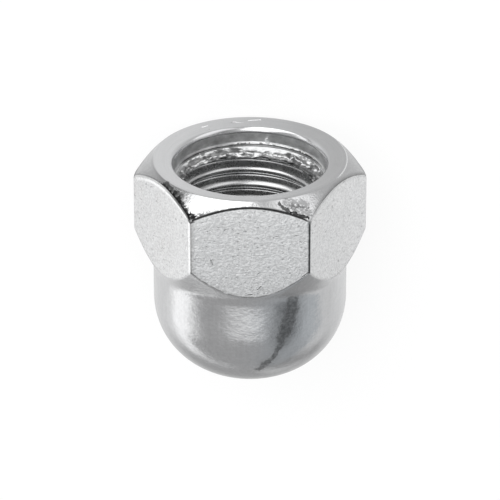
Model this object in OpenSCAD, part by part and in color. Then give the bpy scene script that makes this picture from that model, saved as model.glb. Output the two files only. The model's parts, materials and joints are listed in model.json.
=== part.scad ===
// Cap nut: a hexagon nut closed by a domed crown, cold forged in one piece
// and tapped blind from its open face.
//
// The nut lies on one flat of its hexagon. The thread axis runs along Y and
// the mouth opens towards -Y, with the origin where that axis meets the open
// face. The sections below are drawn upright, in the nut's own frame: the open
// face is z = 0, the crown hangs below it, and radii are measured from Z.
// All sizes are in millimetres and degrees.

/* [Hexagon] */
// Distance across the flats
across_flats = 30; // [29:0.5:36]
// Rounding of the six edges between the flats
edge_r = 0.5; // [0.2:0.1:1.5]
// Depth below the open face at which the hexagon has run out into the crown
hex_h = 16.5; // [14:0.1:19]

/* [Open face] */
// Outside diameter of the bearing face
face_d = 28.7; // [26:0.1:28.9]
// Width of the flat land at the outer edge of the bearing face
land_w = 0.5; // [0.2:0.1:1]
// How far the face is cupped, from the land down to the mouth
cup_depth = 0.35; // [0.1:0.05:0.6]
// Slope of the corner chamfer, measured from the open face
chamfer_slope = 43; // [30:1:55]
// Radius that blends the chamfer into the corners
chamfer_blend_r = 1.8; // [0.4:0.1:3]

/* [Underside] */
// Depth below the open face at which the cone that draws the corners in starts
corner_low = 11.5; // [9:0.1:13]

/* [Crown] */
// Height from the open face to the top of the crown
overall_h = 34.9; // [33:0.1:42]
// Outside diameter of the crown's short straight side
crown_d = 28.9; // [26:0.1:29]
// Radius of the top of the crown
crown_r = 16.8; // [15.5:0.1:24]
// Radius of the shoulder between the top and the straight side
shoulder_r = 11.7; // [8:0.1:12.5]

/* [Mouth] */
// How much wider the plain counterbore is than the thread it leads to
mouth_clearance = 0.7; // [0.2:0.1:1.5]
// Depth of the counterbore's upright wall
mouth_depth = 3.1; // [2:0.05:5]
// Width of the rounded rim between the counterbore and the bearing face
rim_w = 0.6; // [0.2:0.1:0.9]
// Height of that rim, which is taller than it is wide
rim_h = 0.9; // [0.4:0.1:1.2]
// Included angle of the countersink that leads on into the thread
countersink_angle = 110; // [90:5:130]

/* [Thread] */
// Nominal diameter of the right-hand metric thread
thread_d = 22; // [18:1:22]
// Pitch of the thread
thread_pitch = 2.5; // [1:0.5:2.5]
// Depth of the tapped hole below the open face, without its drill point
hole_depth = 26; // [20:0.5:27]
// Included angle of the drill point at the bottom of the hole
drill_point_angle = 118; // [110:1:140]

/* [Hidden] */

// Ratio of an internal metric thread's depth to its pitch, on the diameter
MINOR_PER_PITCH = 1.0825;
// Angle that one straight step of a curved outline turns through
ARC_STEP = 3;
// How far cutting tools reach past the surface they cut
OVERCUT = 1;
// Smoothness of the turned surfaces in a preview
$fn = 120;

minor_r = (thread_d - MINOR_PER_PITCH * thread_pitch) / 2;
face_r = face_d / 2;
mouth_r = (thread_d + mouth_clearance) / 2;
crown_side_r = crown_d / 2;
// Radius out to the middle of a rounded edge of the hexagon
corner_r = (across_flats / 2 - edge_r) / cos(30) + edge_r;
land_inner_r = face_r - land_w;
// Depth at which the countersink has narrowed to the thread's crests
thread_top = mouth_depth + (mouth_r - minor_r) / tan(countersink_angle / 2);
hole_tip = hole_depth + minor_r / tan(drill_point_angle / 2);

// Points along an arc about centre c, from angle a to angle b
function arc(c, r, a, b) =
    let (n = max(2, ceil(abs(b - a) / ARC_STEP)))
    [for (i = [0:n]) let (t = a + (b - a) * i / n) c + r * [cos(t), sin(t)]];

// Points along a quarter of an ellipse, from its left end up to its top
function quarter_ellipse(c, w, h) =
    [for (p = arc([0, 0], 1, 180, 90)) c + [w * p[0], h * p[1]]];

// Outline of the hexagon, its six edges rounded
function hexagon_outline() =
    let (reach = (across_flats / 2 - edge_r) / cos(30))
    [for (k = [0:5])
        for (p = arc(reach * [cos(60 * k), sin(60 * k)], edge_r, 60 * k - 30, 60 * k + 30)) p];

// Arc of the chamfer's blend, from the corner up to the chamfer
function chamfer_blend() =
    let (
        sharp = [corner_r, -(corner_r - face_r) * tan(chamfer_slope)],
        tangent = chamfer_blend_r * tan((90 - chamfer_slope) / 2),
        centre = [corner_r - chamfer_blend_r, sharp[1] - tangent]
    )
    arc(centre, chamfer_blend_r, 0, 90 - chamfer_slope);

// Turned section that trims the hexagon: the underside's cone, the corner and the chamfer
function trim_outline() = concat(
    [[0, -hex_h], [crown_side_r, -hex_h], [corner_r, -corner_low]],
    chamfer_blend(), [[face_r, 0], [0, 0]]);

// Section of the crown: a top arc and a shoulder arc that meet at a tangent
function crown_outline() =
    let (
        top_centre = [0, crown_r - overall_h],
        offset_x = crown_side_r - shoulder_r,
        offset_z = -sqrt(pow(crown_r - shoulder_r, 2) - offset_x * offset_x),
        shoulder_centre = top_centre + [offset_x, offset_z],
        meet = atan2(offset_z, offset_x)
    )
    concat(
        arc(top_centre, crown_r, -90, meet),
        arc(shoulder_centre, shoulder_r, meet, 0),
        [[crown_side_r, -corner_low], [0, -corner_low]]);

// Section of the hole, from the drill point up to the rounded rim and the cupped face
function hole_outline() = concat(
    [[0, -hole_tip], [minor_r, -hole_depth], [minor_r, -thread_top], [mouth_r, -mouth_depth]],
    quarter_ellipse([mouth_r + rim_w, -cup_depth - rim_h], rim_w, rim_h),
    [[land_inner_r, 0], [land_inner_r, OVERCUT], [0, OVERCUT]]);

module hexagon() {
    intersection() {
        translate([0, 0, -hex_h]) linear_extrude(hex_h) polygon(hexagon_outline());
        rotate_extrude() polygon(trim_outline());
    }
}

module crown() {
    rotate_extrude() polygon(crown_outline());
}

// The cupped face, the counterbore, its countersink and the blind hole, bored to the thread's crests
module tapped_hole() {
    rotate_extrude() polygon(hole_outline());
}

module cap_nut() {
    color("silver") rotate([90, 0, 0]) difference() {
        union() {
            hexagon();
            crown();
        }
        tapped_hole();
    }
}

cap_nut();
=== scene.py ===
"""Cap nut of plated steel: forged, faced and tapped, lying on one flat of its hexagon.

Lengths are in millimetres until a point is placed, and metres from there on. A
point of the nut is given by its turn about the thread axis, counted from the
flat that faces up, its distance from that axis, and its depth below the open
face. The mouth opens towards -Y and the crown's top is the part's +Y end.
"""

from __future__ import annotations

import json
import logging
import math
from contextlib import contextmanager
from dataclasses import dataclass
from enum import Enum
from typing import Any, Callable, Iterator, Sequence

import bpy
from mathutils import Matrix, Vector, noise

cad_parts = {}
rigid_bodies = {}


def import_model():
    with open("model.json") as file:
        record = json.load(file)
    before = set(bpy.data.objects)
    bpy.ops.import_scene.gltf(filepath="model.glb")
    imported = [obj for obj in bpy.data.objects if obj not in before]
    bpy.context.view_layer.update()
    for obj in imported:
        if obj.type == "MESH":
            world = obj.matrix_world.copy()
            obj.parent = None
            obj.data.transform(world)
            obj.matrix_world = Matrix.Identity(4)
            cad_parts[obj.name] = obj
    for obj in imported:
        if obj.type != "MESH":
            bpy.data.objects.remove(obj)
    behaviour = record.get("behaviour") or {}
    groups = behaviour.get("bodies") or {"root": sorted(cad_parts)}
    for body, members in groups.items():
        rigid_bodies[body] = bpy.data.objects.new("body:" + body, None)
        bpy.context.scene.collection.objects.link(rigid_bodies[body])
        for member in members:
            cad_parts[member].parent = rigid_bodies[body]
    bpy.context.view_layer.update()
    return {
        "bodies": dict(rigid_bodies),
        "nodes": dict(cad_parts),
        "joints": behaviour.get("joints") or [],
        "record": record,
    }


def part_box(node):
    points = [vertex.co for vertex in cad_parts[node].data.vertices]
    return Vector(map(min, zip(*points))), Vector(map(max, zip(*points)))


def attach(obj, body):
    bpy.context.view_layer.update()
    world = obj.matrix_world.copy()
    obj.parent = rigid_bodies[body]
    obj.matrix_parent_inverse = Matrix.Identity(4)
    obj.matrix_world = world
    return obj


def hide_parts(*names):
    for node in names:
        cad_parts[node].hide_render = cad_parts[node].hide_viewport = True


log = logging.getLogger("cap_nut")

MM = 0.001
FULL_TURN = 2 * math.pi
Point = tuple[float, float]  # distance from the axis, depth below the face
Triple = tuple[float, float, float]
Piece = bpy.types.Object
Socket = bpy.types.NodeSocket


# --- Small helpers ---


def place(turn: float, radius: float, depth: float) -> Vector:
    """Puts a point of the nut into the row frame, in metres.

    Args:
        turn: Angle about the thread axis from the upper flat, in radians.
        radius: Distance from the thread axis.
        depth: Depth below the open face.

    Returns:
        The point in metres.
    """
    return Vector((-radius * math.sin(turn), depth, radius * math.cos(turn))) * MM


def lerp(a: Point, b: Point, t: float) -> Point:
    """Point a share t of the way from a to b."""
    return a[0] + (b[0] - a[0]) * t, a[1] + (b[1] - a[1]) * t


def straight(a: Point, b: Point) -> Callable[[float], Point]:
    """The line from a to b, as a function of the share covered."""
    return lambda share: lerp(a, b, share)


def gap(a: Point, b: Point) -> float:
    """Distance between two points of a section."""
    return math.hypot(b[0] - a[0], b[1] - a[1])


def smooth(low: float, high: float, x: float) -> float:
    """Eases from 0 at low to 1 at high."""
    t = min(1.0, max(0.0, (x - low) / (high - low)))
    return t * t * (3.0 - 2.0 * t)


def arc(centre: Point, radius: float, start: float, end: float, count: int) -> list[Point]:
    """Points along an arc of a section.

    Args:
        centre: The arc's centre.
        radius: Its radius.
        start: First angle in degrees, from outwards towards greater depth.
        end: Last angle in degrees.
        count: Number of points, ends included.

    Returns:
        The points in order.
    """
    angles = (math.radians(start + (end - start) * i / (count - 1)) for i in range(count))
    return [(centre[0] + radius * math.cos(a), centre[1] + radius * math.sin(a)) for a in angles]


def deselect() -> None:
    """Leaves no object selected or active."""
    if bpy.context.object and bpy.context.object.mode != "OBJECT":
        bpy.ops.object.mode_set(mode="OBJECT")
    bpy.ops.object.select_all(action="DESELECT")


@contextmanager
def editing(everything: bool = True) -> Iterator[None]:
    """Holds the active piece in edit mode.

    Args:
        everything: Whether all of it is selected first.

    Yields:
        Nothing, while the piece is in edit mode.
    """
    bpy.ops.object.mode_set(mode="EDIT")
    if everything:
        bpy.ops.mesh.select_all(action="SELECT")
    yield
    bpy.ops.object.mode_set(mode="OBJECT")


# --- The nut's sizes ---


@dataclass
class Forging:
    """Outside of the nut, from the open face to the top of the crown."""

    across_flats: float
    length: float
    edge_r: float = 0.5
    hex_depth: float = 16.5
    face_r: float = 14.35
    chamfer_slope: float = 43.0
    blend_r: float = 1.8
    corner_low: float = 11.5
    crown_side_r: float = 14.45
    crown_r: float = 16.8
    shoulder_r: float = 11.7
    land_w: float = 0.5
    cup_depth: float = 0.35
    mouth_r: float = 11.35
    rim_w: float = 0.6
    rim_h: float = 0.9

    @property
    def edge_reach(self) -> float:
        """Distance from the axis to the centre of an edge's rounding."""
        return (self.across_flats / 2 - self.edge_r) / math.cos(math.radians(30))

    @property
    def corner_r(self) -> float:
        """Distance from the axis to the middle of a rounded edge."""
        return self.edge_reach + self.edge_r

    @property
    def underside_slope(self) -> float:
        """Depth that the underside's cone gains for each unit towards the axis."""
        return (self.hex_depth - self.corner_low) / (self.corner_r - self.crown_side_r)

    def hexagon_r(self, turn: float) -> float:
        """Finds how far the hexagon's wall is from the axis.

        Args:
            turn: Angle about the axis, from the middle of a flat.

        Returns:
            The distance, with the edges rounded.
        """
        from_flat = (turn + math.pi / 6) % (math.pi / 3) - math.pi / 6
        plain = self.across_flats / 2 / math.cos(from_flat)
        off = math.pi / 6 - abs(from_flat)
        side = self.edge_reach * math.sin(off)
        if side >= self.edge_r / 2:
            return plain
        return self.edge_reach * math.cos(off) + math.sqrt(self.edge_r**2 - side**2)

    def chamfer_depth(self, radius: float) -> float:
        """Finds how deep the chamfer and its blend lie.

        Args:
            radius: Distance from the axis.

        Returns:
            The depth there.
        """
        slope = math.radians(self.chamfer_slope)
        sharp = (self.corner_r - self.face_r) * math.tan(slope)
        tangent = self.blend_r * math.tan((math.pi / 2 - slope) / 2)
        starts = self.corner_r - tangent * math.cos(slope)
        if radius <= starts:
            return (radius - self.face_r) * math.tan(slope)
        inset = min(self.blend_r, max(0.0, radius - (self.corner_r - self.blend_r)))
        return sharp + tangent - math.sqrt(self.blend_r**2 - inset**2)

    def underside_depth(self, radius: float) -> float:
        """Depth at which the cone of the underside reaches a distance from the axis."""
        return self.corner_low + (self.corner_r - radius) * self.underside_slope

    def crown(self, count: int) -> list[Point]:
        """Draws the section of the crown.

        Args:
            count: Number of rows to spend on it.

        Returns:
            Points from its top to the start of its straight side.
        """
        offset = self.crown_side_r - self.shoulder_r
        drop = math.sqrt((self.crown_r - self.shoulder_r) ** 2 - offset**2)
        top_centre = (0.0, self.length - self.crown_r)
        shoulder_centre = (offset, top_centre[1] + drop)
        meet = math.degrees(math.atan2(drop, offset))
        share = round(count * 0.4)
        top = arc(top_centre, self.crown_r, 90, meet, share)
        return top + arc(shoulder_centre, self.shoulder_r, meet, 0, count - share)[1:]


@dataclass
class Thread:
    """Right-hand internal thread in a blind hole, with its counterbore and countersink."""

    crest_r: float
    wall_length: float
    mouth_r: float = 11.35
    recess_depth: float = 3.1
    countersink_angle: float = 110.0
    pitch: float = 2.5
    root_r: float = 11.0
    crest_flat: float = 0.64
    root_flat: float = 0.28
    point_angle: float = 118.0
    crest_at_far_side: float = 6.72
    corner_ease: float = 0.16
    root_ease: float = 0.08
    runout: float = 1.6
    torn_top: float = 3.2
    torn_low: float = 3.6
    torn_lowest: float = 4.95
    torn_below_crest: float = 0.42
    torn_reach: float = 0.42
    join: float = 0.12

    @property
    def steepness(self) -> float:
        """How much the countersink narrows for each unit of depth."""
        return math.tan(math.radians(self.countersink_angle / 2))

    @property
    def top(self) -> float:
        """Depth at which the countersink has narrowed to the roots."""
        return self.recess_depth + (self.mouth_r - self.root_r) / self.steepness

    @property
    def hole_depth(self) -> float:
        """Depth of the hole without its drill point."""
        return self.recess_depth + (self.mouth_r - self.crest_r) / self.steepness + self.wall_length

    @property
    def tip(self) -> float:
        """Depth of the drill point."""
        return self.hole_depth + self.crest_r / math.tan(math.radians(self.point_angle / 2))

    def groove_r(self, across: float, root: float) -> float:
        """Distance from the axis of the thread's surface.

        Args:
            across: Distance along the axis from the middle of a crest.
            root: Distance of the roots from the axis.

        Returns:
            The distance from the axis, with eased corners.
        """
        flank = (self.pitch - self.crest_flat - self.root_flat) / 2
        total = 0.0
        for step in (-1.0, -0.5, 0.0, 0.5, 1.0):
            t = abs((across + step * self.corner_ease + self.pitch / 2) % self.pitch - self.pitch / 2)
            rise = min(1.0, max(0.0, (t - self.crest_flat / 2) / flank))
            total += self.crest_r + (root - self.crest_r) * rise
        return total / 5

    def hole_r(self, depth: float) -> float:
        """Distance from the axis of the bored hole, before it is tapped."""
        narrowing = max(0.0, depth - self.recess_depth) * self.steepness
        return max(self.crest_r, self.mouth_r - narrowing)

    def crest(self, turn: float) -> float:
        """Depth of the middle of the second crest at a turn."""
        return self.crest_at_far_side - self.pitch * (turn - math.pi) / FULL_TURN

    def wall_r(self, turn: float, depth: float) -> float:
        """Finds how far the tapped wall is from the axis.

        Args:
            turn: Angle about the axis.
            depth: Depth below the open face.

        Returns:
            The distance, with the thread run out near the hole's floor.
        """
        fade = 1.0 - smooth(self.hole_depth - 2 * self.runout, self.hole_depth - self.runout, depth)
        root = self.crest_r + (self.root_r - self.crest_r) * fade
        return max(self.hole_r(depth), self.groove_r(depth - self.crest(turn), root))

    def rows(self, fine: bool) -> list[float]:
        """Places of a pitch's rows, along the axis from the middle of a crest.

        Args:
            fine: Whether this pitch is torn and needs closer rows.

        Returns:
            The places in order.
        """
        ease, low = self.corner_ease, self.root_ease
        knee, foot = self.crest_flat / 2, self.pitch / 2 - self.root_flat / 2
        side = [knee - ease, knee + ease, (knee + foot) / 2, foot - low, foot + low]
        if fine:
            side += [(knee - ease) / 2, knee, foot]
            side += [knee + (foot - knee) * share for share in (0.25, 0.4, 0.6, 0.75)]
        return sorted([0.0] * fine + side + [-s for s in side])

    def torn(self, turn: float, depth: float) -> float:
        """How torn the metal is where the tap first bit, from 0 to 1.

        Args:
            turn: Angle about the axis, from half a flat before the upper flat.
            depth: Depth below the open face.

        Returns:
            The share, which fades out above the countersink and below the first crest.
        """
        share = smooth(-math.pi / 6, math.pi / 2, turn)
        below_crest = min(self.crest(turn) - self.pitch + self.torn_below_crest, self.torn_lowest)
        low = self.torn_low + (below_crest - self.torn_low) * share
        begun = smooth(self.torn_top, self.torn_top + 0.3, depth)
        return begun * (1 - smooth(low - 0.12, low + 0.05, depth))

    def tear(self, turn: float, radius: float, depth: float) -> Point:
        """Moves a point of the hole's wall to where the torn metal has it.

        Args:
            turn: Its angle about the axis.
            radius: Its distance from the axis.
            depth: Its depth; at the top ring, which joins the countersink, nothing moves.

        Returns:
            Its new distance from the axis and depth.
        """
        share = self.torn(turn, depth) * smooth(self.top, self.top + self.join, depth)
        if share <= 0:
            return radius, depth
        spot = place(turn, radius * 0.45, depth * 1.4) / MM
        ridge = 1 - 2 * abs(noise.noise(spot * 1.1))
        inward = self.torn_reach * max(0.0, ridge - 0.35) + 0.1 * noise.noise(spot * 3.7)
        along = 0.16 * noise.noise(spot * 2.3 + Vector((7, 3, 1)))
        return radius - share * inward, depth + share * along

    def lip(self, turn: float) -> float:
        """Finds how high the ragged lip stands where the wall meets the countersink.

        Args:
            turn: Angle about the axis.

        Returns:
            The height.
        """
        spread = smooth(1.7, 2.6, turn) * (1 - smooth(3.3, 3.5, turn))
        ragged = 0.5 + 0.5 * noise.noise(Vector((turn * 30, 0.3, 0.7)))
        return 0.04 + spread * (0.08 + 0.42 * ragged)


# --- Building the mesh ---


class Zone(Enum):
    """Parts of the surface that have a finish of their own."""

    CROWN = 0
    FLATS = 1
    FACE = 2
    BORE = 3

    def cover(self, mesh: bpy.types.Mesh) -> None:
        """Puts every face of a mesh in this zone."""
        zones = mesh.attributes.new("zone", "INT", "FACE").data
        zones.foreach_set("value", [self.value] * len(mesh.polygons))


@dataclass(frozen=True)
class Run:
    """One smooth stretch of the section, and the crease at its end."""

    at: Callable[[float], Point]
    count: int
    zone: Zone
    crease_r: float


@dataclass
class NutBody:
    """The whole nut as one closed skin."""

    forging: Forging
    thread: Thread
    per_sector: int = 72
    crown_rows: int = 30
    underside_rows: int = 5
    flat_rows: int = 7
    chamfer_rows: int = 8
    rim_rows: int = 8
    crease_rows: int = 4
    seam_share: float = 0.015  # share of a turn over which the second pitch's rows spread out
    floor_snap: float = 0.02  # rows nearer to the hole's floor than this lie on it
    merge_within: float = 0.002
    row_zones: Sequence[Zone] = ()

    @property
    def columns(self) -> int:
        """Number of columns round the nut."""
        return 6 * self.per_sector

    def column_turn(self, column: int) -> float:
        """Turn of a column; they crowd towards the hexagon's edges.

        Args:
            column: Number of the column, from the edge before the upper flat.

        Returns:
            The turn in radians.
        """
        sector, step = divmod(column, self.per_sector)
        half = self.per_sector // 2
        from_edge = min(step, self.per_sector - step)
        off = 30.0 * (from_edge / half) ** 1.4
        return math.radians(60 * sector - 30 + (off if step <= half else 60 - off))

    def section(self, turn: float) -> list[Point]:
        """Section of the outside at a turn, from the crown's top to the recess.

        Args:
            turn: Angle about the thread axis.

        Returns:
            As many points at every turn, so that equal ones join into rings.
        """
        f, t = self.forging, self.thread
        wall = f.hexagon_r(turn)
        low, high = f.underside_depth(wall), f.chamfer_depth(wall)
        crown = f.crown(self.crown_rows)
        skirt_end, land_end = (f.crown_side_r, f.hex_depth), (f.face_r - f.land_w, 0.0)

        def chamfer(s: float) -> Point:
            """Point of the chamfer at a share of its way in."""
            radius = wall + (f.face_r - wall) * s
            return radius, f.chamfer_depth(radius)

        runs = [Run(straight(crown[-1], skirt_end), 4, Zone.CROWN, 3.2),
                Run(straight(skirt_end, (wall, low)), self.underside_rows, Zone.CROWN, 0.8),
                Run(straight((wall, low), (wall, high)), self.flat_rows, Zone.FLATS, 0.22),
                Run(chamfer, self.chamfer_rows, Zone.FACE, 0.12),
                Run(straight((f.face_r, 0.0), land_end), 3, Zone.FACE, 0.12),
                Run(straight(land_end, (f.mouth_r + f.rim_w, f.cup_depth)), 4, Zone.FACE, 0.0)]
        points, rows = list(crown), [Zone.CROWN] * len(crown)
        lead = 0.0
        for i, run in enumerate(runs):
            following = runs[i + 1] if i + 1 < len(runs) else None
            trim = self.crease_trim(run, following) if following else 0.0
            length = max(gap(run.at(0), run.at(1)), 1e-6)
            first, last = lead / length, 1 - trim / length
            skip = 1 if i == 0 else 0
            points += [run.at(first + (last - first) * k / (run.count - 1)) for k in range(skip, run.count)]
            rows += [run.zone] * (run.count - skip)
            if following:
                reach = max(gap(following.at(0), following.at(1)), 1e-6)
                a, corner, b = run.at(last), run.at(1), following.at(trim / reach)
                for k in range(1, self.crease_rows):
                    s = k / self.crease_rows
                    points.append(lerp(lerp(a, corner, s), lerp(corner, b, s), s))
                    rows.append(run.zone)
            lead = trim
        foot = f.cup_depth + f.rim_h
        inside = [(f.mouth_r + f.rim_w + f.rim_w * x, foot + f.rim_h * y)
                  for x, y in arc((0.0, 0.0), 1.0, -90, -180, self.rim_rows)[1:]]
        rows += [Zone.FACE] * len(inside)
        # down the counterbore, over the ragged lip at its foot and down the countersink
        lip, deep = t.lip(turn), t.recess_depth
        bore = [(f.mouth_r, foot + (deep - foot) * s) for s in (0.4, 0.7)]
        bore += [(f.mouth_r - 0.02, deep - 0.08), (f.mouth_r - 0.17, deep - lip),
                 (f.mouth_r - 0.21, deep - lip * 0.45), (f.mouth_r - 0.12, deep + 0.07),
                 (t.root_r + 0.12, t.top - 0.08), (t.root_r, t.top)]
        rows += [Zone.BORE] * len(bore)
        self.row_zones = rows
        return points + inside + bore

    @staticmethod
    def crease_trim(run: Run, following: Run) -> float:
        """Finds how much the rounding of a crease takes from the runs that meet there.

        Args:
            run: The run before the crease.
            following: The run after it.

        Returns:
            The length, measured along either run.
        """
        a, corner, b = run.at(0.98), run.at(1.0), following.at(0.02)
        before = math.atan2(corner[1] - a[1], corner[0] - a[0])
        after = math.atan2(b[1] - corner[1], b[0] - corner[0])
        turn = abs((after - before + math.pi) % FULL_TURN - math.pi)
        share = 0.72 if run.crease_r > 1 else 0.42
        room = share * min(gap(run.at(0), run.at(1)), gap(following.at(0), following.at(1)))
        return min(room, run.crease_r * math.tan(turn / 2))

    def turn_blank(self) -> Piece:
        """Turns the outside as a round blank, by spinning the section at an edge.

        Returns:
            The blank, with each vertex's row kept in an attribute.
        """
        outline = self.section(self.column_turn(0))
        deselect()
        bpy.ops.mesh.primitive_plane_add(size=2 * MM, location=(0, 0, 0))
        blank = bpy.context.object
        blank.name = blank.data.name = "cap_nut_skin"
        with editing():
            bpy.ops.mesh.merge(type="CENTER")
            here = place(0.0, *outline[0])
            bpy.ops.transform.translate(value=here)
            for point in outline[1:]:
                there = place(0.0, *point)
                bpy.ops.mesh.extrude_vertices_move(TRANSFORM_OT_translate={"value": there - here})
                here = there
        row = blank.data.attributes.new("row", "INT", "POINT")
        row.data.foreach_set("value", self.rows_of(blank, outline))
        with editing():
            bpy.ops.mesh.spin(steps=self.columns, angle=FULL_TURN, center=(0, 0, 0),
                              axis=(0, -1, 0), use_auto_merge=True)
        return blank

    @staticmethod
    def rows_of(blank: Piece, outline: Sequence[Point]) -> list[int]:
        """Finds the row of each vertex of the extruded outline by its place.

        Args:
            blank: The outline as a piece.
            outline: Its points in order.

        Returns:
            The rows, in the order of the vertices.
        """
        rows = []
        for vertex in blank.data.vertices:
            here = (vertex.co.z / MM, vertex.co.y / MM)
            rows.append(min(range(len(outline)), key=lambda i: gap(outline[i], here)))
        return rows

    def press_hexagon(self, blank: Piece) -> None:
        """Presses the blank to its hexagon, moving each column to its own section.

        Args:
            blank: The round blank.
        """
        sections = [self.section(self.column_turn(k)) for k in range(self.columns)]
        mesh = blank.data
        torn = mesh.attributes.new("torn", "FLOAT", "POINT").data
        row_of = [item.value for item in mesh.attributes["row"].data]
        for vertex in mesh.vertices:
            turn = math.atan2(-vertex.co.x, vertex.co.z) % FULL_TURN
            column = round((turn - self.column_turn(0)) / FULL_TURN * self.columns) % self.columns
            vertex.co = place(self.column_turn(column), *sections[column][row_of[vertex.index]])
            if row_of[vertex.index] == len(self.row_zones) - 1:
                torn[vertex.index].value = self.thread.torn(self.column_turn(column), self.thread.top)
        zones = mesh.attributes.new("zone", "INT", "FACE").data
        for face in mesh.polygons:
            zones[face.index].value = self.row_zones[max(row_of[v] for v in face.vertices)].value

    def tap(self) -> Piece:
        """Rolls a grid into the tapped wall, its rows running along the helix.

        Returns:
            The wall, open at the countersink and closed at the drill point.
        """
        t = self.thread
        begin = self.column_turn(0)
        # how far below the top ring the middle of a crest lies, where the rows begin
        phase = t.crest(begin) - t.top
        coarse = sorted((r + phase) % t.pitch for r in t.rows(fine=False))
        starts, along = [0.0], [0.0]
        for k in range(math.ceil((t.hole_depth - t.top) / t.pitch) + 2):
            for own in sorted((r + phase) % t.pitch for r in t.rows(fine=k < 2)):
                # the second pitch starts beside the coarse third one, whose rows it meets
                start = min(coarse, key=lambda r: abs(r - own)) if k == 1 else own
                starts.append(start + k * t.pitch)
                along.append(own + k * t.pitch)
        deselect()
        bpy.ops.mesh.primitive_grid_add(x_subdivisions=self.columns, y_subdivisions=len(along) - 1,
                                        size=2, location=(0, 0, 0))
        wall = bpy.context.object
        wall.name = wall.data.name = "tapped_wall"
        mesh = wall.data
        torn = mesh.attributes.new("torn", "FLOAT", "POINT").data
        for vertex in mesh.vertices:
            column = round((vertex.co.x + 1) / 2 * self.columns)
            row = round((vertex.co.y + 1) / 2 * (len(along) - 1))
            share = (self.column_turn(column) - begin) / FULL_TURN
            turn = begin + FULL_TURN * share
            here = starts[row] + (along[row] - starts[row]) * smooth(0.0, self.seam_share, share)
            depth = min(t.hole_depth, max(t.top, t.top + here - t.pitch * share))
            if t.hole_depth - depth < self.floor_snap:
                depth = t.hole_depth
            torn[vertex.index].value = t.torn(turn, depth)
            vertex.co = place(turn, *t.tear(turn, t.wall_r(turn, depth), depth))
        Zone.BORE.cover(mesh)
        with editing():
            bpy.ops.mesh.remove_doubles(threshold=self.merge_within * MM)
        floor = t.hole_depth * MM - 1e-6
        for items in (mesh.polygons, mesh.edges):
            items.foreach_set("select", [False] * len(items))
        mesh.vertices.foreach_set("select", [vertex.co.y > floor for vertex in mesh.vertices])
        with editing(everything=False):
            bpy.ops.mesh.select_mode(type="VERT")
            for shrink in (0.5, 0.0):
                bpy.ops.mesh.extrude_edges_move(TRANSFORM_OT_translate={
                    "value": (0, (t.tip - t.hole_depth) / 2 * MM, 0)})
                bpy.ops.transform.resize(value=(shrink, 1, shrink), center_override=(0, 0, 0))
            bpy.ops.mesh.select_all(action="SELECT")
            bpy.ops.mesh.remove_doubles(threshold=self.merge_within * MM)
        return wall

    def build(self) -> Piece:
        """Makes the nut: turned, pressed, tapped and joined into one closed skin.

        Returns:
            The finished piece, with a material slot's number on each face.
        """
        blank = self.turn_blank()
        self.press_hexagon(blank)
        parts = [self.tap()] + [burr.build() for burr in BURRS]
        deselect()
        bpy.context.view_layer.objects.active = blank
        for part in (blank, *parts):
            part.select_set(True)
        bpy.ops.object.join()
        with editing():
            bpy.ops.mesh.remove_doubles(threshold=2 * self.merge_within * MM)
            bpy.ops.mesh.normals_make_consistent(inside=False)
        bpy.ops.object.shade_smooth()
        mesh = blank.data
        zones = [item.value for item in mesh.attributes["zone"].data]
        mesh.polygons.foreach_set("material_index", zones)
        return blank


@dataclass(frozen=True)
class Burr:
    """Sliver of torn metal: a tapering tail that curls as it grows out of the wall."""

    turn: float
    radius: float
    depth: float
    length: float
    rise: float
    curl: float
    width: float
    steps: int = 5
    taper: float = 0.84
    inward: float = 0.35

    def build(self) -> Piece:
        """Extrudes the sliver step by step, turning and narrowing as it goes.

        Returns:
            The sliver, as a closed piece whose root is buried in the wall.
        """
        turn = math.radians(self.turn)
        here = place(turn, self.radius, self.depth)
        out = place(turn, 1.0, 0.0).normalized()
        across = Vector((0, 1, 0)).cross(out)
        deselect()
        bpy.ops.mesh.primitive_circle_add(vertices=6, radius=self.width * MM, fill_type="NGON",
                                          location=here)
        sliver = bpy.context.object
        bpy.ops.object.transform_apply(location=True, rotation=True, scale=True)
        with editing():
            for k in range(self.steps):
                angle = math.radians(self.rise + self.curl * k)
                along = across * math.cos(angle) - Vector((0, math.sin(angle), 0)) - out * self.inward
                step = along.normalized() * (self.length / self.steps * MM)
                here = here + step
                bpy.ops.mesh.extrude_region_move(TRANSFORM_OT_translate={"value": step})
                bpy.ops.transform.resize(value=(self.taper,) * 3, center_override=here)
        mesh = sliver.data
        burr = mesh.attributes.new("burr", "FLOAT", "POINT").data
        burr.foreach_set("value", [1.0] * len(mesh.vertices))
        Zone.BORE.cover(mesh)
        return sliver


BURRS = (  # turn, radius, depth, length, rise, curl, width
    Burr(165.5, 11.2, 2.75, 1.5, 152, -30, 0.2), Burr(162, 11.2, 2.85, 0.7, 20, -10, 0.14),
    Burr(226, 10.9, 3.7, 0.95, 55, 12, 0.16), Burr(220, 10.7, 3.8, 0.7, 35, 20, 0.12),
    Burr(118, 10.8, 3.5, 0.6, 60, -25, 0.1), Burr(106, 10.9, 3.6, 0.7, 80, 18, 0.1),
    Burr(98, 10.9, 3.7, 0.6, 40, -30, 0.09), Burr(186, 10.4, 4.0, 0.5, 30, 25, 0.1),
    Burr(172, 10.3, 4.0, 0.6, 10, 30, 0.11), Burr(152, 10.4, 4.0, 0.6, 25, -22, 0.11),
    Burr(140, 10.5, 3.9, 0.5, 50, 20, 0.09))


# --- Shader maths ---

Number = "Field | float"


def maths(operation: str, flipped: bool = False) -> Callable[[Field, Number], Field]:
    """Makes an operator between a Field and another value.

    Args:
        operation: What the Math node does.
        flipped: Whether the other value comes first.

    Returns:
        The operator, which adds the node.
    """
    def operate(own: Field, other: Number) -> Field:
        """Adds the node."""
        return own.graph.maths(operation, *((other, own) if flipped else (own, other)))
    return operate


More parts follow.
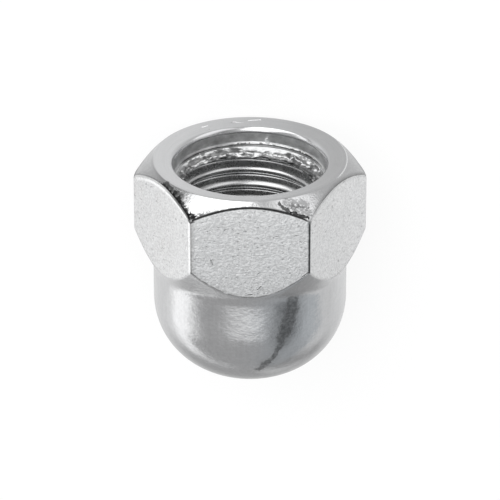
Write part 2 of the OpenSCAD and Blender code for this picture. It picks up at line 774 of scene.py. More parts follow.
class Field:
    """One number that varies over a surface, with arithmetic that adds Math nodes."""

    def __init__(self, graph: Graph, socket: Socket) -> None:
        """Wraps an output socket of a graph."""
        self.graph, self.socket = graph, socket

    __add__ = __radd__ = maths("ADD")
    __sub__, __rsub__ = maths("SUBTRACT"), maths("SUBTRACT", flipped=True)
    __mul__ = __rmul__ = maths("MULTIPLY")
    __truediv__ = maths("DIVIDE")
    atleast, atmost = maths("MAXIMUM"), maths("MINIMUM")
    angle_to = maths("ARCTAN2")  # in radians, of a point with this height and the other's reach

    def __abs__(self) -> Field:
        """Absolute value."""
        return self.graph.maths("ABSOLUTE", self)

    def step(self, low: float, high: float) -> Field:
        """Eases from 0 at low to 1 at high.

        Args:
            low: Value at which it leaves 0.
            high: Value at which it reaches 1; it may be the smaller of the two.

        Returns:
            The eased value.
        """
        flip = low > high
        found = self.graph.node("ShaderNodeMapRange", {"interpolation_type": "SMOOTHSTEP"}, {
            0: self, 1: min(low, high), 2: max(low, high), 3: float(flip), 4: float(not flip)})
        return Field(self.graph, found.outputs[0])


class Graph:
    """The nodes of one material or of the surround."""

    def __init__(self, tree: bpy.types.NodeTree) -> None:
        """Wraps a node tree."""
        self.tree = tree

    def node(self, kind: str, settings: dict[str, Any], inputs: dict[int | str, Any]) -> bpy.types.Node:
        """Adds a node.

        Args:
            kind: The node's type.
            settings: Its own settings, which are set first.
            inputs: A value or a link for each named or numbered socket.

        Returns:
            The node.
        """
        node = self.tree.nodes.new(kind)
        for name, value in settings.items():
            setattr(node, name, value)
        for key, value in inputs.items():
            value = value.socket if isinstance(value, Field) else value
            if isinstance(value, Socket):
                self.tree.links.new(value, node.inputs[key])
            else:
                node.inputs[key].default_value = value
        return node

    def maths(self, operation: str, *values: Number) -> Field:
        """Adds a Math node."""
        made = self.node("ShaderNodeMath", {"operation": operation}, dict(enumerate(values)))
        return Field(self, made.outputs[0])

    def vector(self, operation: str, *values: Any) -> Socket:
        """Adds a Vector Math node and gives its vector."""
        made = self.node("ShaderNodeVectorMath", {"operation": operation}, dict(enumerate(values)))
        return made.outputs[0]

    def measure(self, operation: str, *values: Any) -> Field:
        """Adds a Vector Math node and gives its number."""
        return Field(self, self.vector(operation, *values).node.outputs["Value"])

    def scale(self, vector: Any, factor: Number) -> Socket:
        """Scales a vector by a number."""
        made = self.node("ShaderNodeVectorMath", {"operation": "SCALE"}, {0: vector, "Scale": factor})
        return made.outputs[0]

    def parts(self, vector: Socket) -> list[Field]:
        """Splits a vector into three numbers."""
        split = self.node("ShaderNodeSeparateXYZ", {}, {0: vector})
        return [Field(self, part) for part in split.outputs]

    def outputs(self, kind: str, *names: str) -> list[Field]:
        """Adds a node that needs no input, and gives the outputs named."""
        made = self.node(kind, {}, {})
        return [Field(self, made.outputs[name]) for name in names]

    def tint(self, factor: Number, low: Any, high: Any) -> Socket:
        """Mixes two colours."""
        return self.node("ShaderNodeMix", {"data_type": "RGBA"}, {0: factor, 6: low, 7: high}).outputs[2]


def rgba(colour: Sequence[float]) -> tuple[float, ...]:
    """A colour as sockets take it."""
    return (*colour, 1.0)


class Coat(Graph):
    """The nodes of one finish, and what varies over it while they are put together."""

    def __init__(self, tree: bpy.types.NodeTree, forging: Forging) -> None:
        """Starts from smooth plate of an even shade.

        Args:
            tree: The material's node tree.
            forging: The nut's sizes.
        """
        super().__init__(tree)
        self.forging = forging
        coordinates = self.node("ShaderNodeTexCoord", {}, {})
        self.here = self.scale(coordinates.outputs["Object"], 1 / MM)
        self.x, self.deep, self.z = self.parts(self.here)
        self.out = self.measure("LENGTH", self.stretch((1, 0, 1)))  # distance from the thread axis
        zero = self.x * 0.0
        self.shade = zero + 1.0  # factor on the plate's colour
        self.height = zero  # millimetres
        self.rough = zero
        self.matt = zero  # 0 for mirror-like plate, 1 for bare metal that scatters the light

    def tone(self, change: Field) -> None:
        """Adds to the shade."""
        self.shade = self.shade + change

    def lift(self, change: Field) -> None:
        """Raises the surface by a number of millimetres."""
        self.height = self.height + change

    def roughen(self, change: Field) -> None:
        """Adds to the roughness."""
        self.rough = self.rough + change

    def darken(self, mask: Field, share: float = 1.0) -> None:
        """Takes a share of the shade away where a mask is 1."""
        self.shade = self.shade * (1 - mask * share)

    def scratch(self, mask: Field, share: float, depth: float, roughness: float) -> None:
        """Darkens, lowers and roughens the surface where a mask is 1.

        Args:
            mask: Where it is done.
            share: Share of the shade taken away.
            depth: How far the surface is lowered, in millimetres.
            roughness: What is added to the roughness.
        """
        self.darken(mask, share)
        self.lift(mask * -depth)
        self.roughen(mask * roughness)

    def bare(self, mask: Field, gain: float) -> None:
        """Lays bare, bright metal where a mask is 1."""
        self.tone(mask * gain)
        self.matt = self.matt.atleast(mask)

    def attribute(self, name: str) -> Field:
        """A mask that the mesh carries."""
        return Field(self, self.node("ShaderNodeAttribute", {"attribute_name": name}, {}).outputs["Fac"])

    def stretch(self, by: Triple, at: Socket | None = None) -> Socket:
        """A place, multiplied along each axis."""
        return self.vector("MULTIPLY", at or self.here, by)

    def noise(self, scale: float | Triple, detail: float = 2.0, rough: float = 0.5,
              at: Socket | None = None) -> Field:
        """Cloudy noise from 0 to 1.

        Args:
            scale: Waves for each millimetre, the same along every axis or one for each.
            detail: Number of finer layers.
            rough: Strength of each finer layer.
            at: The place, if it isn't the plain one.

        Returns:
            The noise.
        """
        at = at or self.here
        if isinstance(scale, tuple):
            at, scale = self.stretch(scale, at), 1.0
        made = self.node("ShaderNodeTexNoise", {}, {
            "Vector": at, "Scale": scale, "Detail": detail, "Roughness": rough})
        return Field(self, made.outputs[0])

    def wander(self, scale: float, reach: float, at: Socket | None = None) -> Socket:
        """Moves a place about, so that edges turn ragged.

        Args:
            scale: Waves for each millimetre.
            reach: Twice the farthest that a point moves, in millimetres.
            at: The place, if it isn't the plain one.

        Returns:
            The new place.
        """
        at = at or self.here
        made = self.node("ShaderNodeTexNoise", {}, {"Vector": at, "Scale": scale, "Detail": 2.0})
        shift = self.vector("SUBTRACT", made.outputs["Color"], (0.5, 0.5, 0.5))
        return self.vector("ADD", at, self.scale(shift, reach))

    def hexagon(self) -> tuple[Field, Field]:
        """Measures from the planes of the hexagon's flats.

        Returns:
            The distance from the nearest flat's plane and from the next one's.
        """
        walls = [abs(self.measure("DOT_PRODUCT", self.here, (math.sin(a), 0.0, math.cos(a))))
                 for a in (0.0, math.pi / 3, -math.pi / 3)]
        most = walls[0].atleast(walls[1]).atleast(walls[2])
        least = walls[0].atmost(walls[1]).atmost(walls[2])
        half = self.forging.across_flats / 2
        return half - most, half - (walls[0] + walls[1] + walls[2] - most - least)

    def flecks(self, at: Socket, stretch: Triple, share: float, size: float) -> Field:
        """Scattered flecks, one in some of the cells of a stretched grid.

        Args:
            at: The place in millimetres.
            stretch: Cells for each millimetre along X, Y and Z.
            share: Share of the cells that hold a fleck.
            size: Least radius of a fleck, in cells.

        Returns:
            1 on a fleck and 0 off it.
        """
        cells = self.node("ShaderNodeTexVoronoi", {"feature": "F1"}, {
            "Vector": self.stretch(stretch, at), "Scale": 1.0})
        lot, spread, _ = self.parts(cells.outputs["Color"])
        inside = (Field(self, cells.outputs["Distance"]) - size - 0.12 * spread).step(0.06, -0.02)
        return inside * lot.step(1 - share - 0.02, 1 - share)


# --- Finishes ---


@dataclass(frozen=True)
class Mark:
    """Scratch, nick or scuff along a short line, its ends in millimetres."""

    start: Triple
    end: Triple
    width: float
    depth: float  # below the surface; a raised mark has less than 0
    shade: float  # factor on the plate's shade; more than 1 lays bare, bright metal


def line_distance(coat: Coat, at: Socket, start: Triple, end: Triple) -> Field:
    """Distance of a place from a short line.

    Args:
        coat: The finish's nodes.
        at: The place.
        start: One end of the line.
        end: Its other end.

    Returns:
        The distance in millimetres.
    """
    line = Vector(end) - Vector(start)
    away = coat.vector("SUBTRACT", at, start)
    along = coat.measure("DOT_PRODUCT", away, tuple(line)) / line.length_squared
    nearest = coat.scale(tuple(line), along.atleast(0.0).atmost(1.0))
    return coat.measure("LENGTH", coat.vector("SUBTRACT", away, nearest))


def speckled(mask: Field, spots: Field) -> Field:
    """Breaks a mask up into speckles that close up towards its middle."""
    return ((spots - 0.5) * 5 + mask * 2.2 - 1.1).step(0.0, 0.6) * mask.step(0.02, 0.15)


@dataclass(frozen=True)
class Plating:
    """Bright plate over forged or machined steel."""

    name: str
    colour: Triple
    roughness: float
    clouds: float
    grain: float
    grain_scale: float = 2.2
    hammered: float = 0.0
    pits: float = 0.0
    pit_depth: float = 0.0
    streaks: float = 0.0
    marks: tuple[Mark, ...] = ()

    def material(self, forging: Forging) -> bpy.types.Material:
        """Makes the finish.

        Args:
            forging: The nut's sizes.

        Returns:
            A material with its colour, roughness and relief from nodes.
        """
        material = bpy.data.materials.new(self.name)
        material.use_nodes = True
        coat = Coat(material.node_tree, forging)
        self.plain(coat)
        self.dress(coat)
        cooler = [c * f for c, f in zip(self.colour, (0.99, 1.0, 1.008))]
        tinted = coat.tint(coat.noise(0.12), rgba(self.colour), rgba(cooler))
        bump = coat.node("ShaderNodeBump", {}, {"Strength": 1.0, "Distance": MM, "Height": coat.height})
        shader = material.node_tree.nodes["Principled BSDF"]
        for name, value in (("Base Color", coat.scale(tinted, coat.shade.atleast(0.02).atmost(1.25))),
                            ("Roughness", coat.rough.atleast(0.05).socket),
                            ("Metallic", (1 - coat.matt).atleast(0.0).socket),
                            ("Normal", bump.outputs[0])):
            coat.tree.links.new(value, shader.inputs[name])
        return material

    def plain(self, coat: Coat) -> None:
        """Lays the plain plate, with its grain, pits and marks.

        Args:
            coat: The finish's nodes.
        """
        cloud = coat.noise(0.35, 3.0, 0.55) - 0.5
        fine = coat.noise(self.grain_scale, 3.0, 0.6) - 0.5
        coat.tone(cloud * (2 * self.clouds) + fine * (1.4 * self.clouds))
        coat.lift(fine * (2 * self.grain) + cloud * self.grain)
        coat.roughen(cloud * 0.1 + fine * 0.06 + self.roughness)
        if self.streaks:
            streak = coat.noise((1.6, 0.07, 1.6)) - 0.5
            coat.tone(streak * self.streaks)
            coat.roughen(streak * 0.1)
        if self.hammered:
            blows = coat.noise(3.1, 3.0, 0.6, coat.wander(1.4, 0.35)).step(0.3, 0.7) - 0.5
            coat.tone(blows * self.hammered)
            coat.lift(blows * (0.08 * self.hammered))
        if self.pits:
            ragged = coat.wander(3.0, 0.22, coat.wander(0.7, 1.2))
            dark = coat.flecks(ragged, (1.1, 1.5, 1.1), self.pits, 0.1)
            dash = coat.flecks(ragged, (1.5, 3.6, 1.5), self.pits * 0.8, 0.16)
            pale = coat.flecks(ragged, (1.3, 2.6, 1.7), self.pits * 0.8, 0.14)
            coat.darken(dark, 0.3)
            coat.darken(dash, 0.24)
            coat.lift((0.7 * pale - dark.atleast(dash)) * self.pit_depth)
            coat.tone(0.2 * pale)
        for mark in self.marks:
            line = line_distance(coat, coat.wander(3.0, 0.16), mark.start, mark.end) / mark.width
            cut = line.step(1.0, 0.35)
            if mark.shade > 1:
                coat.bare(cut * min(0.8, 3 * (mark.shade - 1)), mark.shade - 1)
            else:
                coat.darken(cut, 1 - mark.shade)
            coat.lift((0.5 * line.step(1.9, 1.2) * (1 - cut) - cut) * mark.depth)

    def dress(self, coat: Coat) -> None:
        """Adds what only this zone has; the plain plate has nothing more."""


@dataclass(frozen=True)
class FlatPlating(Plating):
    """Plate on the spanner flats, with dark lines and wear along their edges, and painted shade on the
    upper one.
    """

    def dress(self, coat: Coat) -> None:
        """Darkens lines along the creases round each flat, most round the upper one, paints shade on the
        upper flat and wears one edge.

        Args:
            coat: The finish's nodes.
        """
        sizes, x, deep, z, out = coat.forging, coat.x, coat.deep, coat.z, coat.out
        _, beside = coat.hexagon()
        below = deep - (out - sizes.face_r) * math.tan(math.radians(sizes.chamfer_slope))
        above = sizes.corner_low + (sizes.corner_r - out) * sizes.underside_slope - deep
        ragged = coat.noise(1.1, 3.0, 0.6)
        heavy = (0.35 * x + 0.94 * z).step(3.0, 10.5)
        upper = z.step(14.7, 14.9)
        # darker, lowered lines under the chamfer, over the cone, down the edges and in the worst corner
        beyond = (0 - x).step(9.0, 8.0).atleast(0.3) * (1 - 0.8 * x.step(10.5, 12.5))
        under = (below - 0.16 * ragged).step(0.36, 0.18) * (0.3 + 0.42 * heavy + 0.22 * upper) * beyond
        corner = (below - 0.3 * ragged).step(0.6, 0.3) * beside.step(0.9, 0.2) * x.step(7.0, 7.6) * heavy
        over = (above - 0.3 * ragged).step(0.2, 0.02) * (0.2 + 0.4 * upper) * ragged.step(0.3, 0.5)
        down = (beside - 0.1 * ragged).step(0.14, 0.03) * (0 - x).step(8.2, 8.4) * deep.step(13.5, 12.0)
        # painted shade: a grey band on the upper flat beside its edges
        painted_edge_shade = beside.step(0.34, 0.1) * upper * 0.4
        # bare metal along one edge and beside the chamfer's crease
        worn = beside.step(0.5, 0.34) * x.step(8.55, 8.7) * z.step(13.4, 14.2) * deep.step(2.9, 3.3)
        worn = worn * deep.step(13.2, 12.0) * ragged.step(0.2, 0.4)
        rub = (below - 0.3 * ragged).step(0.72, 0.56) * below.step(0.3, 0.42) * x.step(9.0, 9.5) * heavy
        # painted shade: a band that swells in from one edge of the upper flat
        painted_swell_shade = (beside - 0.9 * (ragged - 0.5)).step(0.75, 0.15) * upper * x.step(7.0, 7.8) * 0.22
        coat.darken(painted_edge_shade.atleast(painted_swell_shade))
        # painted shade: the upper flat darkens towards the crown
        coat.darken(upper * deep.step(4.0, 15.0), 0.07)
        coat.scratch(under.atleast(corner * 0.9).atleast(down * 0.85).atleast(over), 1.0, 0.012, 0.15)
        coat.bare(worn.atleast(rub * 0.6), 0.3)


@dataclass(frozen=True)
class FacePlating(Plating):
    """Plate on the open face and its chamfer, with dark scuffs at the corners."""

    worst: Triple = (0.5, 0.0, 0.866)  # towards the most scuffed corner
    scuffs: tuple[Mark, ...] = ()

    def dress(self, coat: Coat) -> None:
        """Adds the grain of the chamfer, darker lines and painted shade along its edges, a painted
        highlight at the open face's edge and the scuffs towards the corners.

        Args:
            coat: The finish's nodes.
        """
        sizes, x, deep, z, out = coat.forging, coat.x, coat.deep, coat.z, coat.out
        inward, beside = coat.hexagon()
        chamfer = deep.step(0.12, 0.3) * (out - sizes.face_r).step(-0.1, 0.1)
        grit = coat.noise(3.0, at=coat.wander(1.6, 0.4)).step(0.36, 0.66) - 0.5
        coat.lift(chamfer * grit * 0.006)
        coat.tone(chamfer * grit * 0.1)
        toward = coat.measure("DOT_PRODUCT", coat.here, self.worst) / sizes.across_flats
        heavy = toward.step(0.4, 0.54)
        spots = coat.noise(2.8, 3.0, 0.65, coat.wander(2.0, 0.5))
        # darker, lowered lines along the hexagon's edges, heaviest towards the worst corner
        band = inward.step(0.75, 0.15) * beside.step(5.0, 1.0) * (0.25 + 0.75 * heavy)
        line = inward.step(0.2, 0.06) * coat.noise(1.1).step(0.3, 0.5) * (0.5 + 0.3 * heavy)
        crease = speckled(inward.step(0.45, 0.1) * x.step(8.6, 9.2) * z.step(5.5, 8.0) * 0.95, spots)
        dark_rim_lines = (band * spots.step(0.42, 0.56)).atleast(line).atleast(crease * 0.95)
        coat.scratch(dark_rim_lines, 0.86, 0.02, 0.16)
        ragged = coat.wander(1.4, 0.8)
        for scuff in self.scuffs:
            near = (line_distance(coat, ragged, scuff.start, scuff.end) / scuff.width).step(1.9, 0.5)
            closed = 0.8 if scuff.shade > 0.4 else 1.0
            coat.scratch(speckled(near * closed, spots), 1 - scuff.shade, scuff.depth, 0.12)
        rings = coat.vector("ADD", coat.scale((0.9, 0.3, 0.1), out * 5), coat.scale(coat.here, 0.15))
        coat.tone((1 - chamfer) * (coat.noise(1.0, at=rings) - 0.5) * 0.12)
        # painted shade: a soft dark line where the open face meets the chamfer on one side, and over that
        # side of the chamfer
        shaded = abs(out - sizes.face_r - 0.12).step(0.3, 0.05) * x.step(12.0, 13.2) * z.step(-4.0, 1.0)
        coat.darken(shaded.atleast(chamfer * x.step(9.5, 12.0) * 0.7), 0.26)
        # painted highlight: a bright line where the open face meets the chamfer on one side
        painted_rim_highlight = abs(out - sizes.face_r).step(0.13, 0.04) * (0 - x).step(12.4, 13.4) * deep.step(0.3, 0.2)
        coat.bare(painted_rim_highlight * 0.5, 0.16)
        # painted shade: a soft grey band along the chamfer's edges on the other side
        coat.darken(inward.step(0.6, 0.1) * (0 - x).step(8.6, 9.6), 0.28)


@dataclass(frozen=True)
class CrownPlating(Plating):
    """Plate on the crown: rolled and drawn, with a dark streak down one side."""

    streak: tuple[tuple[float, float, float, float], ...] = ()  # points, each with a half width

    def dress(self, coat: Coat) -> None:
        """Adds the marks of rolling and drawing, and the dark streak.

        Args:
            coat: The finish's nodes.
        """
        rolled = coat.noise(1.0, 3.0, 0.6, coat.wander(0.6, 1.4, coat.stretch((1.5, 2.3, 1.5)))) - 0.5
        drawn = coat.noise((2.6, 0.22, 2.6)) - 0.5
        coat.tone(rolled * 0.2 + drawn * 0.14)
        coat.lift(rolled * 0.034 + (coat.noise(0.4, 1.0) - 0.5) * 0.06)
        ragged = coat.wander(3.2, 0.6, coat.wander(0.8, 1.3))
        dark_streak = coat.x * 0.0
        for (*start, width_a), (*end, width_b) in zip(self.streak, self.streak[1:]):
            line = line_distance(coat, ragged, start, end) / ((width_a + width_b) / 2)
            dark_streak = dark_streak.atleast(line.step(1.6, 0.75)).atleast(line.step(3.2, 1.2) * 0.22)
        mottle = coat.noise(2.4, 3.0, 0.6).step(0.34, 0.62)
        coat.scratch(dark_streak * (0.6 + 0.4 * mottle), 0.63, 0.004, 0.12)


@dataclass(frozen=True)
class BorePlating(Plating):
    """Plate in the hole: painted shade darkens it with depth, and it is torn where the tap bit."""

    def dress(self, coat: Coat) -> None:
        """Adds painted shade deeper in the hole and under the lip, the matt counterbore lightened with
        painted light, and the torn metal in long flakes.

        Args:
            coat: The finish's nodes.
        """
        x, deep = coat.x, coat.deep
        torn, burr = coat.attribute("torn"), coat.attribute("burr")
        flakes = coat.noise(1.0, 3.0, 0.6, coat.wander(1.3, 0.7, coat.stretch((0.34, 1.5, 0.34))))
        chips = coat.noise((0.8, 3.0, 0.8), 2.0, 0.6)
        ticks = coat.noise((1.9, 0.5, 1.9)).step(0.42, 0.5)
        far = (0 - coat.z).step(3.0, 6.0)
        # painted shade, darker deeper in the hole
        painted_depth_shade = 1 - 0.16 * deep.step(3.8, 6.0) - 0.25 * deep.step(8.0, 20.0)
        bright = 0.2 + 0.22 * flakes.step(0.48, 0.56) + 0.28 * chips.step(0.5, 0.58)
        coat.shade = coat.shade * painted_depth_shade * (1 - torn) + torn * bright
        # the lip over the countersink, white, over a painted shadow in the gap beneath it
        inner = (coat.forging.mouth_r - coat.out).step(0.08, 0.13)
        lip = (deep + 0.5 * (chips - 0.5)).step(2.96, 2.88) * abs(x + 3.3).step(6.7, 5.5)
        lip = inner * lip * far * ticks
        painted_lip_shadow = (inner * (1 - lip)).atleast(deep.step(3.1, 3.16)) * deep.step(3.38, 3.28) * far
        coat.darken(painted_lip_shadow, 0.62)
        # painted shade that dims the reflected line at the wall's foot on one side
        coat.darken(deep.step(2.8, 2.95) * deep.step(3.22, 3.12) * x.step(1.9, 3.4) * far, 0.36)
        # bright ledge and shreds of the torn zone
        middle = abs(x + 2.2)
        thick = 0.04 + 0.3 * middle.step(4.4, 2.2) + 0.5 * (flakes - 0.5)
        ledge = deep.step(3.31, 3.36) * (deep - thick).step(3.42, 3.34)
        ledge = ledge * far * ticks.atleast(middle.step(6.0, 3.0))
        drop = deep - 0.5 * (flakes - 0.5) - 0.3 * (chips - 0.5)
        shred = drop.step(3.86, 3.9) * drop.step(4.02, 3.97) * torn.step(0.3, 0.6) * far * ticks
        brink = torn * (1 - torn) * 4 * deep.step(3.7, 3.9) * ticks
        white = torn * chips.step(0.6, 0.66) * flakes.step(0.46, 0.54)
        for more in (shred, brink, ledge, lip, burr):
            white = white.atleast(more)
        coat.bare(white * 0.9, 0.85)
        # the counterbore's wall, lightened as painted light for light bounced inside the hole, mottled and
        # dimmer towards +X
        wall = deep.step(3.2, 3.05)
        cloud = coat.noise((0.45, 0.6, 0.45), 4.0, 0.65)
        coat.tone(wall * (0.611 - 1.3 * cloud - 0.16 * x.step(4.0, 9.0)))
        coat.lift(torn * flakes * 0.12)
        coat.roughen(torn * 0.04 + wall * 0.18 + burr * 0.3)


FINISHES: dict[Zone, Plating] = {
    # the crown's plate colour is darker than the others', partly as painted shade
    Zone.CROWN: CrownPlating(
        "crown_plate", (0.675, 0.675, 0.68), 0.2, clouds=0.03, grain=0.0022, grain_scale=1.8,
        streak=((-6.2, 16.9, 13.1, 0.9), (-6.2, 18.5, 13.0, 0.95), (-5.6, 20.2, 13.3, 1.0),
                (-4.8, 22.2, 13.6, 0.8), (-4.7, 23.4, 13.7, 0.45), (-4.1, 24.5, 13.6, 0.3),
                (-3.4, 26.2, 13.4, 0.6), (-2.0, 27.8, 13.0, 0.4), (-1.3, 28.8, 12.7, 0.3)),
        marks=(Mark((2.7, 16.55, 14.2), (1.7, 16.5, 14.3), 0.13, 0.02, 0.3),
               Mark((1.4, 16.5, 14.35), (0.4, 16.55, 14.4), 0.11, 0.02, 0.35))),
    Zone.FLATS: FlatPlating(
        "flat_plate", (0.815, 0.815, 0.815), 0.3, clouds=0.05, grain=0.008, grain_scale=3.0,
        hammered=0.27, pits=0.3, pit_depth=0.03, streaks=0.05, marks=(
            Mark((-7.6, 11.9, 15.0), (-8.5, 11.2, 15.0), 0.13, 0.03, 0.45),
            Mark((2.0, 11.5, 15.0), (0.6, 11.6, 15.0), 0.1, -0.03, 1.15),
            Mark((-1.1, 14.1, 15.0), (-1.6, 13.5, 15.0), 0.12, 0.03, 0.5),
            Mark((0.2, 14.8, 15.0), (-0.3, 14.9, 15.0), 0.12, 0.03, 0.5),
            Mark((-3.4, 5.5, 15.0), (-4.1, 5.3, 15.0), 0.12, 0.03, 0.6),
            Mark((5.7, 9.2, 15.0), (5.4, 9.9, 15.0), 0.12, 0.03, 0.6))),
    Zone.FACE: FacePlating(
        "face_plate", (0.745, 0.745, 0.75), 0.21, clouds=0.04, grain=0.003, marks=(
            Mark((7.2, 0.1, -11.0), (6.4, 0.1, -11.5), 0.16, -0.03, 1.3),
            Mark((6.9, 0.2, -9.8), (6.1, 0.2, -10.6), 0.14, 0.03, 0.7),
            Mark((2.5, 0.1, -12.9), (0.4, 0.1, -12.6), 0.15, -0.03, 1.2),
            Mark((0.2, 0.1, -13.3), (-1.6, 0.1, -13.5), 0.16, -0.03, 1.3),
            Mark((3.6, 0.1, -12.0), (2.7, 0.1, -12.7), 0.1, 0.03, 0.75)),
        scuffs=(Mark((12.4, 0.4, 7.9), (10.9, 0.6, 10.2), 0.45, 0.02, 0.3),
                Mark((11.1, 0.8, 10.3), (10.4, 0.9, 11.2), 0.75, 0.02, 0.3),
                Mark((10.4, 0.9, 11.2), (8.9, 2.3, 14.4), 0.3, 0.02, 0.2),
                Mark((9.0, 2.3, 14.4), (8.3, 2.4, 14.8), 0.5, 0.02, 0.08),
                Mark((-4.2, 0.5, 14.2), (-5.7, 1.5, 14.8), 0.3, 0.02, 0.2),
                Mark((-5.7, 1.5, 14.8), (-8.2, 2.45, 14.8), 0.26, 0.02, 0.12),
                Mark((-5.4, 0.5, 13.9), (-7.7, 1.0, 13.3), 0.8, 0.006, 0.6),
                Mark((-6.6, 1.2, 14.1), (-8.2, 2.0, 14.1), 0.75, 0.006, 0.6))),
    Zone.BORE: BorePlating("bore_plate", (0.75, 0.75, 0.75), 0.27, clouds=0.02, grain=0.0006),
}


# --- The stage ---


@dataclass(frozen=True)
class Studio:
    """Floor, lights and camera."""

    elevation: float = 62.73
    distance: float = 0.5084
    aim: Triple = (0.0, 0.01205, 0.00621)
    lens: float = 248.1
    sensor: float = 36.0
    floor_size: float = 4.0
    floor_colour: Triple = (0.92, 0.92, 0.92)
    box_place: Triple = (0.25, -0.55, 0.52)
    box_size: tuple[float, float] = (0.72, 1.36)
    box_watts: float = 4.6

    def floor(self, height: float) -> None:
        """Lays the pale floor, which shows the white surround but keeps the nut's shadow; in the nut's
        reflections it glows with painted light and shade.

        Args:
            height: Height of the floor, in metres.
        """
        deselect()
        bpy.ops.mesh.primitive_plane_add(size=self.floor_size, location=(0, 0, height))
        floor = bpy.context.object
        floor.name = "floor"
        bpy.ops.object.transform_apply(location=True, rotation=True, scale=True)
        material = bpy.data.materials.new("floor_paint")
        material.use_nodes = True
        graph = Graph(material.node_tree)
        matt = graph.node("ShaderNodeBsdfDiffuse", {}, {"Color": rgba(self.floor_colour)})
        camera, glossy, through = graph.outputs(
            "ShaderNodeLightPath", "Is Camera Ray", "Is Glossy Ray", "Is Transmission Ray")
        coordinates = graph.node("ShaderNodeTexCoord", {}, {})
        x, y, _ = graph.parts(coordinates.outputs["Object"])
        # where the nut mirrors the floor, it glows with the painted light and shade set below
        strength = glossy * self.painted_reflection_level(x, y) + (1 - glossy) * 1.03
        glow = graph.node("ShaderNodeEmission", {}, {"Color": rgba((1, 1, 1)), "Strength": strength})
        share = (camera * 0.8).atleast(glossy * 0.85).atleast(through * 0.8)
        mixed = graph.node("ShaderNodeMixShader", {}, {0: share, 1: matt.outputs[0], 2: glow.outputs[0]})
        out = material.node_tree.nodes["Material Output"]
        graph.tree.links.new(mixed.outputs[0], out.inputs["Surface"])
        floor.data.materials.append(material)

    @staticmethod
    def painted_reflection_level(x: Field, y: Field) -> Field:
        """Paints how bright the floor looks in the nut's reflections, with painted light and painted
        shadow.

        Args:
            x: Place across, in metres, as y is.
            y: Place along the thread axis.

        Returns:
            The brightness.
        """
        left = 0 - x
        # painted shade on the floor before the mouth, darker at its front, and the floor past the mouth
        near, front = y.step(0.012, -0.004), y.step(-0.008, -0.03)
        far = 1 - near
        # painted shadow: a dark fan that widens past the crown
        spread = (0.025 + 0.48 * (y - 0.03)).atleast(0.005)
        painted_shadow_fan = y.step(0.028, 0.08) * (abs(x + 0.002) / spread).step(1.55, 0.68)
        # painted light and shade: unevenness from left to right, dim patches at both sides and bright ones
        # beyond
        tilt = near * (1 - front) * (x * 14).atleast(-0.14).atmost(0.14)
        painted_dim_patches = near * x.step(0.02, 0.036) * 0.28
        painted_dim_patches = painted_dim_patches + far * left.step(0.02, 0.06) * y.step(0.02, 0.05) * 0.14
        painted_dim_patches = painted_dim_patches + far * x.step(0.03, 0.045) * x.step(0.075, 0.06) * y.step(0.044, 0.036) * 0.06
        bright = x.step(0.065, 0.125) * y.step(0.0, 0.03)
        bright = bright + left.step(0.006, 0.016) * left.step(0.045, 0.032) * y.step(0.07, 0.086) * 0.42
        return 0.855 - 0.215 * near - 0.2 * front + tilt - 0.52 * painted_shadow_fan - painted_dim_patches + 0.6 * bright

    def camera(self) -> None:
        """Sets the camera above the mouth, with the crown at the bottom of the view."""
        tilt = math.radians(self.elevation)
        back = Vector((0, -math.cos(tilt), math.sin(tilt)))
        up = Vector((0, -math.sin(tilt), -math.cos(tilt)))
        frame = Matrix((up.cross(back), up, back)).transposed().to_4x4()
        frame.translation = Vector(self.aim) + back * self.distance
        deselect()
        bpy.ops.object.camera_add()
        camera = bpy.context.object
        camera.matrix_world = frame
        camera.data.lens = self.lens
        camera.data.sensor_width = self.sensor
        camera.data.clip_start = 0.01
        bpy.context.scene.camera = camera

    def box_light(self) -> None:
        """Adds the large soft box in front of the mouth, which faces the nut."""
        deselect()
        bpy.ops.object.light_add(type="AREA", location=self.box_place)
        lamp = bpy.context.object
        lamp.name = "mouth_box"
        lamp.data.shape = "RECTANGLE"
        lamp.data.size, lamp.data.size_y = self.box_size
        lamp.data.energy = self.box_watts
        lamp.visible_camera = False
        aim = Vector(self.aim) - Vector(self.box_place)
        lamp.rotation_euler = aim.to_track_quat("-Z", "Y").to_euler()

    def surround(self) -> None:
        """Fills the room: pale overhead, dim between the bright sides, white to the camera."""
        world = bpy.context.scene.world or bpy.data.worlds.new("surround")
        bpy.context.scene.world = world
        world.use_nodes = True
        graph = Graph(world.node_tree)
        toward = graph.node("ShaderNodeTexCoord", {}, {}).outputs["Generated"]
        x, y, z = graph.parts(toward)
        west = 0 - x
        # 0 in front of the mouth, 90 overhead, 180 past the crown
        swing = z.angle_to(0 - y) * (180 / math.pi)
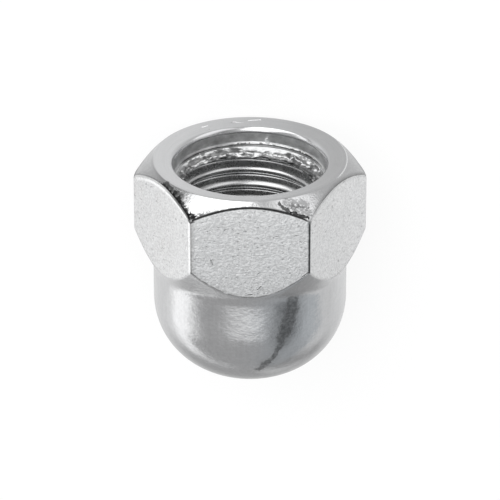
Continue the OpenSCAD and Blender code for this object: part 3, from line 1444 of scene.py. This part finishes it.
        # a pale ceiling between the sides, and what stands to the left, right and front
        top = swing.step(74, 98) * swing.step(128, 110)
        middle = x.step(0.64, 0.24) * (x - 0.3 * y.step(0.42, 0.76)).step(-0.42, -0.04)
        left = x.step(0.62, 0.82) * z.step(0.46, 0.1) * y.step(0.75, 0.5)
        right = west.step(0.6, 0.8) * z.step(0.5, 0.3) * y.step(0.0, 0.3)
        right_gap = west.step(0.3, 0.6) * z.step(0.4, 0.6) * z.step(0.85, 0.7)
        front_right = west.step(0.15, 0.4) * (0 - y).step(0.05, 0.3) * z.step(0.75, 0.5)
        level = 0.43 + top * (0.69 * middle + 0.03) + 0.95 * left + 0.14 * right
        level = (level - 0.25 * right_gap + 0.72 * front_right).atleast(0.08)
        cool = graph.tint(x.step(0.2, -0.6) * y.step(-0.2, 0.3), rgba((1, 1, 1)), rgba((0.94, 0.985, 1.02)))
        seen, spread = graph.outputs("ShaderNodeLightPath", "Is Camera Ray", "Is Diffuse Ray")
        even = graph.tint(spread, graph.scale(cool, level), rgba((0.8, 0.8, 0.8)))
        white = graph.tint(seen, even, rgba((1, 1, 1)))
        background = world.node_tree.nodes["Background"]
        graph.tree.links.new(white, background.inputs["Color"])
        background.inputs["Strength"].default_value = 1.0


def main() -> None:
    """Builds the nut and its studio."""
    logging.basicConfig(level=logging.INFO)
    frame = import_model()
    bpy.context.scene.view_settings.view_transform = "Standard"
    low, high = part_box("cap_nut")
    bore = next(m["dims"] for m in frame["record"]["mounts"] if m["name"] == "thread")
    forging = Forging(across_flats=(high[2] - low[2]) / MM, length=high[1] / MM)
    piece = NutBody(forging, Thread(crest_r=bore["r_mm"], wall_length=bore["length_mm"])).build()
    for zone in Zone:
        piece.data.materials.append(FINISHES[zone].material(forging))
    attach(piece, "root")
    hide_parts("cap_nut")
    triangles = sum(len(face.vertices) - 2 for face in piece.data.polygons)
    log.info("cap nut: %d faces, %d triangles", len(piece.data.polygons), triangles)
    studio = Studio()
    studio.floor(low[2])
    studio.camera()
    studio.surround()
    studio.box_light()
    log.info("studio: floor, camera and lights")


if __name__ == "__main__":
    main()
